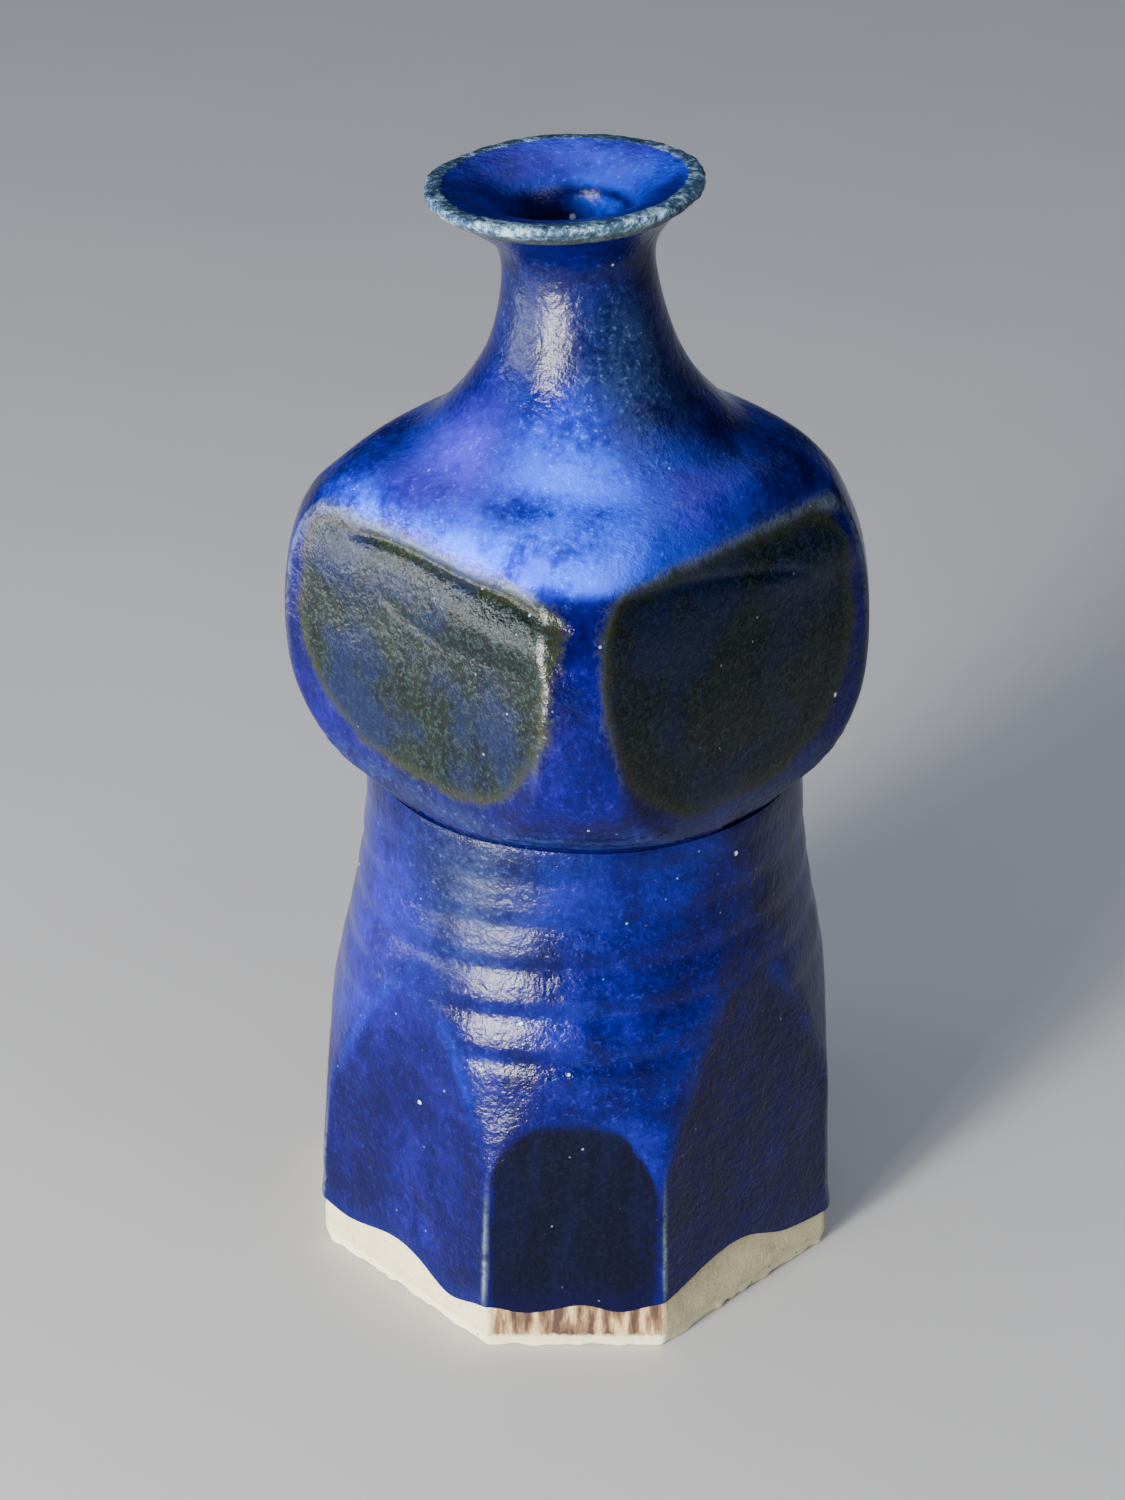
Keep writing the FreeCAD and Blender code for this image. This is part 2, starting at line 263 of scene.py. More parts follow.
def foot_radius(theta, z):
    """Outside of the glazed foot: thrown, faceted, rounded under at the table and a little uneven."""
    r = FOOT_R(z) + throwing(theta, z)
    r = lower_of(r, facet_edge(theta, z, WIDE, WIDE_LEAN), 0.7)
    r = lower_of(r, facet_edge(theta, z, NARROW, NARROW_LEAN), 0.45)
    rounded_under = 0.75 * (1 - step(0, 3.2, z))
    waist_crease = 0.1 * step(80.0, WAIST_Z + 0.2, z)
    r = r - rounded_under - waist_crease
    x, y = r * np.cos(theta), r * np.sin(theta)
    return r + 0.10 * lumps(x, y, z) + 0.035 * dimples(x, y, z) + 0.012 * pats(x, y, z)


def foot_point(theta, z):
    r = foot_radius(theta, z)
    return r * np.cos(theta), r * np.sin(theta), z + 0 * theta


def side_of(theta, r, degrees):
    """Distance along a flat or facet from its middle."""
    return r * np.sin(turn_from(theta, degrees))


# incised lines on the flats: (direction of the flat, [(s, z) along the line], depth, width)
MARKS = [
    (225, [(-14, 119.6), (-8, 120.4), (7, 120.3), (22, 119.6), (28, 117.5)], 0.34, 0.85),
    (225, [(-7, 113.3), (1.4, 111.2), (13, 110.9), (22, 111.9)], 0.09, 0.8),
    (315, [(-24, 121.0), (-17.5, 120.7), (-8.3, 119.6), (6.5, 116.6), (14, 114.5)], 0.30, 0.8),
    (45, [(-22, 119.8), (-5, 120.5), (9, 120.0), (24, 119.0)], 0.38, 0.75),
    (135, [(-24, 118.6), (-8, 120.2), (6, 120.4), (21, 119.4)], 0.38, 0.75),
    (45, [(-12, 112.0), (2, 111.0), (15, 111.8)], 0.09, 0.8),
]


def marks(theta, r, z):
    """Depth of the incised lines."""
    depth = np.zeros(np.broadcast(theta, r, z).shape)
    for turn, points, deep, width in MARKS:
        s = np.where(np.abs(turn_from(theta, turn)) < NEAR_FLAT, side_of(theta, r, turn), FAR)
        line = spline(points)
        start, end = points[0][0], points[-1][0]
        ends = step(start - 1, start + 3, s) * (1 - step(end - 3, end + 1, s))
        depth += deep * ends * bump(z, line(s), width)
    return depth


def loaf_radius(theta, z):
    """Distance from the axis to the bulb's flats, which swell a little under one end of the ridge."""
    least = 0.5
    flat = np.where(z < RIDGE_Z, LOAF_LOW(z), LOAF_HIGH(z))
    reach = np.full(np.broadcast(theta, z).shape, FAR)
    for turn in FLATS.values():
        turned = turn_from(theta, turn)
        c = np.cos(turned)
        pad = 0.5 * step(0.0, 0.4, turned) * bump(z, 115.2, 3.0)
        reach = np.minimum(reach, np.where(c > least, (flat + pad) / np.maximum(c, least), FAR))
    return reach


def loaf_at(theta, z):
    """The flats' distance for heights that may pass their top."""
    return loaf_radius(theta, np.minimum(z, LOAF_TOP - 0.1))


def upper_radius(theta, t):
    """Outside of bulb, neck and mouth: thrown, beaten square, incised and a little uneven."""
    r, z = UPPER_R(t) + 0 * theta, UPPER_Z(t) + 0 * theta
    outer = t < LIP_T
    on_bulb = np.where(outer, 1 - step(127, 134, z), 0.0)
    turning_lines = 0.11 * np.sin(2 * math.pi * (z / 1.7 + theta / (2 * math.pi))) * bump(z, 85, 3.0)
    r = r + np.where(outer, turning_lines, 0.0)
    squared = lower_of(r, loaf_at(theta, z), 0.8 + 3.4 * step(120.5, 125, z))
    r = np.where(outer & (z < 134), squared, r)
    r = r - on_bulb * marks(theta, r, z)
    x, y = r * np.cos(theta), r * np.sin(theta)
    uneven = 0.11 * lumps(x, y, z) * on_bulb + 0.035 * dimples(x, y, z) + 0.012 * pats(x, y, z)
    rim = bump(t, LIP_T - 1.0, 3.6)
    waves = 0.16 * np.sin(2 * theta + 1.1) + 0.10 * np.sin(5 * theta) + 0.10 * dimples(x, y, z)
    return r + uneven + rim * (waves + 0.12 * grit(x, y, z))


def upper_point(theta, t):
    r = upper_radius(theta, t)
    return r * np.cos(theta), r * np.sin(theta), UPPER_Z(t) + 0 * theta


# how far the form wanders off the axis, over height
SHIFT_X = spline([(-5, 0), (25, 0.0), (50, 0.5), (70, 0.7), (84, 0.65), (92, 0.1), (104, -0.45),
                  (116, -0.45), (127, -0.1), (136, 0.35), (142, 0.4), (150, 0.05), (156, -0.5),
                  (160, -1.3), (163.5, -2.0), (168, -2.3)])
SHOULDER_LEAN = math.tan(math.radians(1.7))
MOUTH_LEAN = math.tan(math.radians(2.7))


def by_hand(x, y, z):
    """The bottle's own unevenness: the bulb and neck wander off the axis, and shoulder and mouth lean."""
    shoulder = step(117, 127, z) * (1 - step(131, 142, z))
    mouth = step(156, 162, z)
    return x + SHIFT_X(z), y, z + SHOULDER_LEAN * shoulder * x + MOUTH_LEAN * x * mouth


# ---- where the colours go
def rounded(s, z, half, low, high, low_round, high_round):
    """Distance inside a rounded panel's edge, in mm; negative outside."""
    middle, tall = (low + high) / 2, (high - low) / 2
    corner = np.where(z < middle, low_round, high_round)
    dx, dz = np.abs(s) - (half - corner), np.abs(z - middle) - (tall - corner)
    out = np.hypot(np.maximum(dx, 0), np.maximum(dz, 0)) + np.minimum(np.maximum(dx, dz), 0)
    return corner - out


# (middle, half width, low, high, rounds) of the dark panel on each flat
BULB_PANELS = {
    225: (2.0, 24.3, 88.2, 121.3, 20.0, 5.0),
    315: (-1.8, 23.9, 86.3, 121.7, 20.5, 7.0),
    45: (0.5, 23.8, 87.6, 121.6, 19.0, 6.0),
    135: (-0.5, 23.8, 88.0, 121.4, 20.0, 5.0),
}
# (left edge, right edge, [(s, z) along the arched top]) of the dark panel on each narrow facet
FOOT_PANELS = {
    270: (-12.5, 11.5, [
        (-12.8, 29.0), (-12.0, 32.2), (-9.6, 36.6), (-6, 38.6), (-1.5, 39.1), (3.5, 39.0), (7, 36.6),
        (9.3, 32.8), (11.0, 29.2), (12.2, 25.0)]),
    0: (-12.0, 12.4, [
        (-12.6, 26.0), (-10.8, 31.5), (-6.5, 36.9), (0, 38.8), (5.5, 37.8), (10, 34.0), (12.8, 28.0)]),
    90: (-12.3, 12.0, [
        (-12.6, 29.0), (-10.5, 34.0), (-5, 38.0), (1, 38.4), (7.5, 36.0), (11, 31.0), (12.6, 26.0)]),
    180: (-12.2, 12.1, [
        (-12.8, 27.5), (-10, 33.5), (-4.5, 37.4), (2, 38.9), (8, 36.7), (11, 32.2), (12.6, 27.0)]),
}


def bulb_panel(theta, r, z):
    """Distance inside the bulb's dark panels; negative outside them."""
    inside = np.full(np.broadcast(theta, r, z).shape, OUTSIDE)
    for turn, (middle, half, low, high, low_round, high_round) in BULB_PANELS.items():
        near = np.abs(turn_from(theta, turn)) < NEAR_FLAT
        d = rounded(side_of(theta, r, turn) - middle, z, half, low, high, low_round, high_round)
        inside = np.maximum(inside, np.where(near, d, OUTSIDE))
    return inside


def foot_panel(theta, r, z):
    """Distance inside the foot's dark panels; negative outside them."""
    arch_slope = 0.75
    inside = np.full(np.broadcast(theta, r, z).shape, OUTSIDE)
    for turn, (left, right, top) in FOOT_PANELS.items():
        near = np.abs(turn_from(theta, turn)) < NEAR_FACET
        s = side_of(theta, r, turn)
        d = np.minimum(arch_slope * (spline(top)(s) - z), np.minimum(s - left, right - s))
        inside = np.maximum(inside, np.where(near, d, OUTSIDE))
    return inside


def rough_radius(height):
    """The form's radius at a height, near enough to place a patch of colour."""
    if height <= WAIST_Z:
        return 35.0
    steps = 400
    nearest = np.argmin(np.abs(UPPER_Z(np.linspace(0, LIP_T, steps)) - height))
    return UPPER_R(nearest * LIP_T / steps)


def patch(theta, z, degrees, height, wide, tall):
    """A soft patch in a direction and at a height; wide and tall are in mm."""
    return bump(turn_from(theta, degrees) * rough_radius(height), 0, wide) * bump(z, height, tall)


# The paint functions give values from 0 to 1 for the glaze's material, save two that are in mm:
# panel, the distance inside a dark panel, and low, the height above the glaze's lower edge.
# pale is thin glaze on an edge; deep is thick dark blue, and also painted shade round the waist, under the
# lip and down the throat, with a darker patch in the painted reflection on the shoulder; light is milky blue
# where the glaze breaks at the foot's facets, painted reflection of the sky on shoulder, crest and foot of
# the neck, and painted light in the mouth; lilac is painted violet reflection; ash is painted shade and
# painted haze in dull grey blue; rim is the bare-looking lip and under is its shaded underside.
def foot_paint(theta, z, r):
    """What the glaze does at each point of the foot."""
    edge = np.zeros(np.broadcast(theta, z).shape)
    for turn in SIDES.values():
        narrow = NARROW[turn] - z * NARROW_LEAN
        for wide_turn, sign in ((turn + 45, 1), (turn - 45, -1)):
            wide = WIDE[wide_turn % 360] - z * WIDE_LEAN
            half = math.sqrt(2) * wide - narrow
            s = side_of(theta, r, turn)
            near = np.abs(turn_from(theta, turn)) < NEAR_FACET
            edge = np.maximum(edge, np.where(near, bump(s, sign * (half + 0.1), 0.27), 0))
    edge = edge * (1 - step(14, 34, z)) * 0.6
    wide_in = np.zeros(np.broadcast(theta, z).shape)
    for turn, distance in WIDE.items():
        c = np.cos(turn_from(theta, turn))
        cut = FOOT_R(z) - (distance - z * WIDE_LEAN) / np.maximum(c, 0.3)
        wide_in = np.maximum(wide_in, np.where(c > 0.75, cut, 0))
    return {
        "panel": foot_panel(theta, r, z),
        "pale": edge,
        # deep: thick glaze on the wide facets, and painted shade below the bulb's overhang
        "deep": np.clip(0.8 * step(0.15, 1.2, wide_in) * (1 - edge) + 0.9 * step(73, 80, z), 0, 1),
        "low": z - glaze_line(theta),
        # painted haze and shade in dull grey blue just under the waist
        "ash": 0.75 * patch(theta, z, 240, 72, 9, 12) + 0.4 * patch(theta, z, 95, 68, 10, 12),
        # a painted violet reflection on the lower body's left
        "lilac": 0.16 * patch(theta, z, 205, 58, 12, 14),
        "light": 0.07 * bump(wide_in, 0.25, 0.35) * step(20, 40, z),
        "rim": 0 * z,
        "under": 0 * z,
    }


def upper_paint(theta, t, r):
    """What the glaze does at each point of bulb, neck and mouth."""
    z = UPPER_Z(t) + 0 * theta
    outer = (t < LIP_T) * 1.0
    inner = 1 - outer
    cut_back = UPPER_R(t) - loaf_at(theta, z)
    flat = step(-0.4, 0.8, cut_back)
    border = bump(cut_back, 0.1, 0.35) * step(92, 112, z) * (1 - step(119, 122, z))
    crest = bump(z, RIDGE_Z + 0.2, 1.1) * flat
    front, back = turn_from(theta, 270), turn_from(theta, 84)

    # painted reflection of the sky, in milky blue: on the shoulder, strongest at front and back, along the
    # crest above the flats and at the foot of the neck
    shoulder = step(121.5, 123.5, z) * (1 - step(131, 138, z))
    sides = 0.12 + 0.75 * bump(front, 0, 0.50) + 0.75 * bump(back, 0, 0.6)
    crest_line = bump(z, 124.3, 2.0)
    left_of_front = step(-1.55, -1.3, front) * (1 - step(-0.2, 0.1, front))
    crest_band = crest_line * (left_of_front + 0.8 * bump(back, 0, 0.8))
    foot_of_neck = bump(z, 138.5, 4.0) * (bump(front, -0.15, 0.35) + bump(back, 0.3, 0.5))

    # inside the mouth, painted light and shade: a painted lit wall in the throat, painted shade over the rest
    # of the throat, painted light on the dish and a painted violet reflection on its far side
    lit = bump(turn_from(theta, 52), 0, 0.55)
    throat_painted_shade = step(160.8, 159.5, z) * (1 - lit)
    throat_painted_light = step(161, 160, z) * lit
    dish_painted_light = step(160.8, 162.4, z) * (0.1 + 0.6 * step(-0.3, 0.9, np.sin(theta + 0.6)))
    dish_lilac_reflection = 0.5 * step(161.5, 163.5, z) * step(0.1, 0.8, np.sin(theta))

    # painted shade in deep blue under the lip and round the waist under the bulb, and a darker patch in the
    # painted reflection on the front of the shoulder
    shade_under_lip, waist = bump(z, 156.5, 4.2), bump(z, WAIST_Z, 3.0)
    deep = 0.9 * patch(theta, z, 277, 129.6, 5, 1.6) + shade_under_lip + 0.8 * waist
    # painted shade and painted haze in dull grey blue: on the shaded right of the neck, a hazy reflection on
    # its left, on the back of the neck and a band of shade on the bulb's underside
    ash = (patch(theta, z, 305, 144, 9, 9) + 0.45 * patch(theta, z, 222, 148, 5, 9)
           + 0.7 * patch(theta, z, 120, 145, 9, 8) + 0.5 * bump(z, 85.5, 2.2))
    # painted violet reflections on the shoulder
    lilac = (patch(theta, z, 217, 132, 7, 5) + 0.8 * patch(theta, z, 306, 128, 8, 3)
             + patch(theta, z, 60, 130, 9, 4) + 0.6 * patch(theta, z, 140, 133, 6, 5))
    light = shoulder * sides + 0.8 * crest_band + 0.9 * foot_of_neck
    return {
        "panel": np.where(outer > 0, bulb_panel(theta, r, z), OUTSIDE),
        "pale": outer * np.clip(0.32 * border + 0.45 * crest, 0, 1),
        "deep": outer * deep + inner * throat_painted_shade,
        "ash": outer * ash,
        "lilac": outer * lilac + inner * dish_lilac_reflection,
        "low": 60 + 0 * z,
        "light": outer * light + inner * (dish_painted_light + throat_painted_light),
        "rim": step(LIP_T - 6.4, LIP_T - 4.6, t) * (1 - step(LIP_T + 0.3, LIP_T + 2.0, t)),
        "under": step(LIP_T - 1.2, LIP_T - 3.2, t) * step(LIP_T - 9, LIP_T - 6, t),
    }


# ---- meshes
def normals_of(point, a, b, da, db):
    """Unit normals of a surface point(a, b), outwards, after the hand's unevenness."""
    def at(p, q):
        return np.stack(by_hand(*point(p, q)), -1)
    u, v = at(a + da, b) - at(a - da, b), at(a, b + db) - at(a, b - db)
    n = np.cross(u, v)
    return n / np.maximum(np.linalg.norm(n, axis=-1, keepdims=True), 1e-9)


def make(name, verts, quads, tris=(), normals=None, paint=None):
    """A mesh object from vertices in mm, with vertex normals and painted values if they are given."""
    quads, tris = np.asarray(quads, np.int32).reshape(-1, 4), np.asarray(tris, np.int32).reshape(-1, 3)
    mesh = bpy.data.meshes.new(name)
    mesh.vertices.add(len(verts))
    mesh.vertices.foreach_set("co", (np.asarray(verts, float) / MM).ravel())
    loops = np.concatenate([quads.ravel(), tris.ravel()])
    starts = np.concatenate([np.arange(len(quads)) * 4, len(quads) * 4 + np.arange(len(tris)) * 3])
    mesh.loops.add(len(loops))
    mesh.loops.foreach_set("vertex_index", loops)
    mesh.polygons.add(len(starts))
    mesh.polygons.foreach_set("loop_start", starts)
    mesh.polygons.foreach_set("use_smooth", np.ones(len(starts), bool))
    mesh.update(calc_edges=True)
    for key, values in (paint or {}).items():
        layer = mesh.attributes.new(key, "FLOAT", "POINT")
        layer.data.foreach_set("value", np.asarray(values, np.float32).ravel())
    if normals is not None:
        mesh.normals_split_custom_set_from_vertices(normals)
    piece = bpy.data.objects.new(name, mesh)
    bpy.context.scene.collection.objects.link(piece)
    return piece


def ring_quads(rows, cols, closed_rows=False):
    """Quads of a grid that closes on itself round the axis, facing outwards when rows go up."""
    j, i = np.meshgrid(np.arange(rows if closed_rows else rows - 1), np.arange(cols), indexing="ij")
    k, m = (j + 1) % rows, (i + 1) % cols
    return np.stack([j * cols + i, j * cols + m, k * cols + m, k * cols + i], -1).reshape(-1, 4)


def shell(name, outer, inner, normals, keep, paint):
    """A closed skin between two matching grids, where keep says which cells it has."""
    rows, cols = outer.shape[:2]
    quads = ring_quads(rows, cols)
    front = quads[keep]
    count = rows * cols
    back = front[:, ::-1] + count
    sides = np.concatenate([front[:, [0, 1]], front[:, [1, 2]], front[:, [2, 3]], front[:, [3, 0]]])
    key = sides[:, 0].astype(np.int64) * count + sides[:, 1]
    twin = sides[:, 1].astype(np.int64) * count + sides[:, 0]
    rim = sides[~np.isin(key, twin)]
    walls = np.column_stack([rim[:, 1], rim[:, 0], rim[:, 0] + count, rim[:, 1] + count])
    faces = np.concatenate([front, back, walls])
    verts = np.concatenate([outer.reshape(-1, 3), inner.reshape(-1, 3)])
    norms = np.concatenate([normals.reshape(-1, 3), -normals.reshape(-1, 3)])
    used, index = np.unique(faces, return_inverse=True)
    values = {k: np.tile(np.broadcast_to(v, (rows, cols)).ravel(), 2)[used] for k, v in paint.items()}
    return make(name, verts[used], index.reshape(-1, 4), normals=norms[used], paint=values)


def lathe(name, rings, closed=False, caps=(None, None)):
    """A solid from rings of equal length. caps are the middle points that close its first and last ring."""
    rows, cols = len(rings), len(rings[0])
    verts = np.concatenate(rings)
    quads = ring_quads(rows, cols, closed)
    tris = []
    i = np.arange(cols)
    for cap, row in zip(caps, (0, rows - 1)):
        if cap is None:
            continue
        verts = np.concatenate([verts, [cap]])
        middle = np.full(cols, len(verts) - 1)
        a, b = row * cols + i, row * cols + (i + 1) % cols
        tris.append(np.column_stack([middle, b, a] if row == 0 else [middle, a, b]))
    return make(name, verts, quads, np.concatenate(tris) if tris else ())


def snap(inside, a, b, da, db, keep):
    """Moves the grid points on a panel's border onto it, and returns the new (a, b)."""
    rows, cols = a.shape
    keep = keep.reshape(rows - 1, cols)
    touch_in, touch_out = np.zeros((rows, cols), bool), np.zeros((rows, cols), bool)
    for dj in (0, 1):
        for di in (0, 1):
            block = np.roll(keep, di, axis=1)
            touch_in[dj:rows - 1 + dj] |= block
            touch_out[dj:rows - 1 + dj] |= ~block
    on = touch_in & touch_out
    on[0], on[-1] = False, False
    p, q = a[on], b[on]
    for _ in range(3):
        f = inside(p, q)
        fa = (inside(p + da, q) - inside(p - da, q)) / (2 * da)
        fb = (inside(p, q + db) - inside(p, q - db)) / (2 * db)
        scale = (fa * da)**2 + (fb * db)**2
        p = p - f * fa * da**2 / np.maximum(scale, 1e-9)
        q = q - f * fb * db**2 / np.maximum(scale, 1e-9)
    a, b = a.copy(), b.copy()
    a[on], b[on] = p, q
    return a, b


def cell_mean(v):
    """Mean of a grid's values at the corners of each cell, round the axis."""
    return (v[:-1] + v[1:] + np.roll(v[:-1], -1, 1) + np.roll(v[1:], -1, 1)) / 4


def coats(section, point, radius, paint, a, b, inside, thickness, turns, dark_slot):
    """One section's blue coat and the four dark panels let into it. Returns the coats' inner face."""
    rows, cols = a.shape
    keep = (cell_mean(inside(a, b)) > 0).ravel()
    a, b = snap(inside, a, b, BODY_NUDGE, NUDGE, keep)
    normals = normals_of(point, a, b, BODY_NUDGE, NUDGE)
    outer = np.stack(by_hand(*point(a, b)), -1)
    thick = thickness(a, b)
    outer = outer + normals * (thick - GLAZE)[..., None]
    inner = outer - normals * thick[..., None]
    values = paint(a, b, radius(a, b))
    skin = shell(section + "_coat", outer, inner, normals, ~keep, values)
    finish(skin, "blue_glaze", section + "_glaze")
    centre_theta = cell_mean(np.unwrap(np.broadcast_to(a, (rows, cols)), axis=1))
    centre_theta[:, -1] = centre_theta[:, -2]
    for side, turn in turns.items():
        near = (np.abs(turn_from(centre_theta, turn)) < math.radians(46)).ravel()
        name = section + "_panel_" + side
        finish(shell(name + "_glaze", outer, inner, normals, keep & near, values), dark_slot, name)
    return inner


def finish(piece, slot, *nodes):
    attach(piece, "root")
    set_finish(piece, slot)
    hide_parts(*nodes)
    return piece


# ---- the coats
theta = np.linspace(0, 2 * math.pi, COLS, endpoint=False)[None, :]


def build_foot():
    """The foot's coat and panels. Its rows follow the wavy lower edge and even out towards the waist."""
    total = WAIST_Z - 8.0
    bottom = np.array([0, 0.06, 0.16, 0.3, 0.5, 0.75, 1.05, 1.4, 1.85, 2.35])
    middle = np.linspace(2.85, total - 1.2, int((total - 4) / BODY_ROW))
    top = total - np.array([0.8, 0.62, 0.46, 0.32, 0.2, 0.1, 0.0])
    u = np.concatenate([bottom, middle, top])
    line = glaze_line(theta)
    d = u[:, None] + 0 * theta
    z = line + d + (WAIST_Z - total - line) * (d / total)**2
    a = theta + 0 * z

    def inside(p, q):
        return foot_panel(p, foot_radius(p, q), q)

    def thickness(p, q):
        thinnest = 0.06
        up = np.maximum(q - glaze_line(p), 0)
        rounded_edge = np.sqrt(np.clip(1 - (1 - np.clip(up / 0.75, 0, 1))**2, 0, 1))
        return thinnest + (GLAZE - thinnest) * rounded_edge + 0.16 * bump(up, 1.5, 1.1)
    return coats("foot", foot_point, foot_radius, foot_paint, a, z, inside, thickness, SIDES, "amber_glaze")


def build_bulb():
    """The bulb's coat and panels, up to the neck's seam."""
    t = np.linspace(0, SEAM_T, int(SEAM_T / BODY_ROW))[:, None] + 0 * theta
    a = theta + 0 * t

    def inside(p, q):
        return np.where(q < SEAM_T, bulb_panel(p, upper_radius(p, q), UPPER_Z(q)), OUTSIDE)

    def thickness(p, q):
        return GLAZE + 0 * p
    return coats("bulb", upper_point, upper_radius, upper_paint, a, t, inside, thickness, FLATS, "dark_glaze")


def build_neck():
    """The neck's coat, which goes over the lip and thins to the lining's thickness in the mouth."""
    ring = theta[:, ::2]
    t = np.linspace(SEAM_T, UPPER_LENGTH, int((UPPER_LENGTH - SEAM_T) / NECK_ROW))[:, None] + 0 * ring
    a = ring + 0 * t
    normals = normals_of(upper_point, a, t, NECK_NUDGE, NUDGE)
    outer = np.stack(by_hand(*upper_point(a, t)), -1)
    inside = t > LIP_T
    thick = np.where(inside, LINING, GLAZE) + 0 * t
    inner = outer - normals * thick[..., None]
    keep = np.ones((t.shape[0] - 1) * t.shape[1], bool)
    skin = shell("neck_coat", outer, inner, normals, keep, upper_paint(a, t, upper_radius(a, t)))
    finish(skin, "blue_glaze", "neck_glaze")
    return inner


foot_inner = build_foot()
bulb_inner = build_bulb()
neck_inner = build_neck()


# ---- the clay, its joints and the lining
# (r, z) of the inside of the wall, from the floor of the foot's cavity to the top of the lining
WALL = [
    (30.2, 15.0), (30.9, 25.0), (30.2, 42.0), (28.2, 62.0), (26.9, 75.0), (26.8, 83.0), (29.4, 88.0),
    (32.4, 94.0), (33.2, 100.0), (33.2, 106.0), (31.8, 113.5), (28.2, 119.5), (22.8, 124.6),
    (18.0, 128.4), (14.4, 132.6), (LINING_TOP_R, LINING_TOP),
]
WALL_R, WALL_Z, WALL_LENGTH = outline(WALL)
FLAT_WALL = 5.0

# the spigot of the foot inside the bulb, and the neck's foot in its socket in the bulb
SPIGOT_R = 28.6
SPIGOT_INNER_R = 26.9
SOCKET_R = 18.6
NECK_FOOT_R = SOCKET_R - SLIP
FACE_Z = WAIST_Z + SLIP

# the recess under the foot, and the lowest part of the cavity as (r, z) rings
RECESS_R = 27.0
RECESS_Z = 1.5
CAVITY_LOW = 15.2
FLOOR_CURVE = [(29.4, 11.4), (27.5, 8.6), (24.0, LINING_LOW + 0.12), (10.0, LINING_LOW)]
LINING_FLOOR_Z = 7.5
LINING_CURVE = [(29.0, 11.4), (27.3, 9.0), (23.8, 7.65), (10.0, LINING_FLOOR_Z)]

ring = theta[0]
half_ring = ring[::2]


def circle(r, z, angles=ring):
    """A ring of points; r and z may vary round it."""
    r, z = r + 0 * angles, z + 0 * angles
    return np.stack(by_hand(r * np.cos(angles), r * np.sin(angles), z), -1)


def circles(points, angles=ring):
    return [circle(r, z, angles) for r, z in points]


def cavity_radius(angles, z, grow):
    """Inside surface of the wall, following the bulb's flats, moved outwards by grow."""
    t = np.linspace(0, WALL_LENGTH, 4001)
    r = np.interp(z, WALL_Z(t), WALL_R(t)) + grow + 0 * angles
    flat = loaf_at(angles, np.maximum(z, 78) + 0 * angles) - FLAT_WALL + grow
    return np.where((z > 86) & (z < 124), np.minimum(r, flat), r)


def cavity_rings(levels, grow, angles=ring):
    return [circle(cavity_radius(angles, z, grow), z, angles) for z in levels]


def build_foot_clay():
    """Recess, table ring with chipped edge, bare band, the face under the glaze, spigot and cavity."""
    chips = 0.24 * ripple(21, 16, 3.4)(38 * np.cos(ring), 38 * np.sin(ring), 0 * ring)
    base = foot_radius(ring, 0 * ring) - GLAZE
    rings = circles([
        (RECESS_R - 3.0, RECESS_Z), (RECESS_R - 0.4, RECESS_Z - 0.1), (RECESS_R, 0.35), (RECESS_R + 0.4, 0.0),
        (base - 1.2, 0.0), (base - 0.35 + chips, 0.02), (base - 0.05 + chips, 0.25),
    ])
    for part in np.linspace(0.08, 1.0, 18):
        z = part * glaze_line(ring)
        r = foot_radius(ring, z) - GLAZE
        rings.append(circle(r + 0.04 * dimples(r * np.cos(ring), r * np.sin(ring), 3 * z), z))
    rings += list(foot_inner[1:-1:6]) + [foot_inner[-1]]
    rings += circles([(SPIGOT_R, WAIST_Z), (SPIGOT_R, SPIGOT_TOP), (SPIGOT_INNER_R, SPIGOT_TOP)])
    rings += cavity_rings(np.linspace(82, CAVITY_LOW, 40), LINING) + circles(FLOOR_CURVE)
    foot = lathe("foot_clay", rings, caps=([0, 0, RECESS_Z], [0, 0, LINING_LOW]))
    finish(foot, "clay", "foot_section")


def build_bulb_clay():
    """The wall between the glazed face and the cavity, with the neck's socket on top."""
    rings = circles([(SPIGOT_R + SLIP, FACE_Z)]) + list(bulb_inner[2::6]) + [bulb_inner[-1]]
    rings += circles([(SOCKET_R, NECK_Z), (SOCKET_R, NECK_SOCKET_Z), (17.4, NECK_SOCKET_Z)])
    rings += cavity_rings(np.linspace(129.0, 84.4, 50), LINING)
    rings += circles([(SPIGOT_R + SLIP, SPIGOT_TOP + SLIP)])
    finish(lathe("bulb_clay", rings, closed=True), "clay", "bulb_section")


def build_neck_clay():
    """The wall inside the neck's coat, and the end that stands in the bulb's socket."""
    rings = circles([(NECK_FOOT_R, NECK_SOCKET_Z + SLIP), (NECK_FOOT_R, NECK_Z + SLIP)], half_ring)
    rings += list(neck_inner[2::3])
    rings += cavity_rings(np.linspace(LINING_TOP - 0.3, NECK_SOCKET_Z + SLIP, 6), LINING, half_ring)
    finish(lathe("neck_clay", rings, closed=True), "clay", "neck_section")


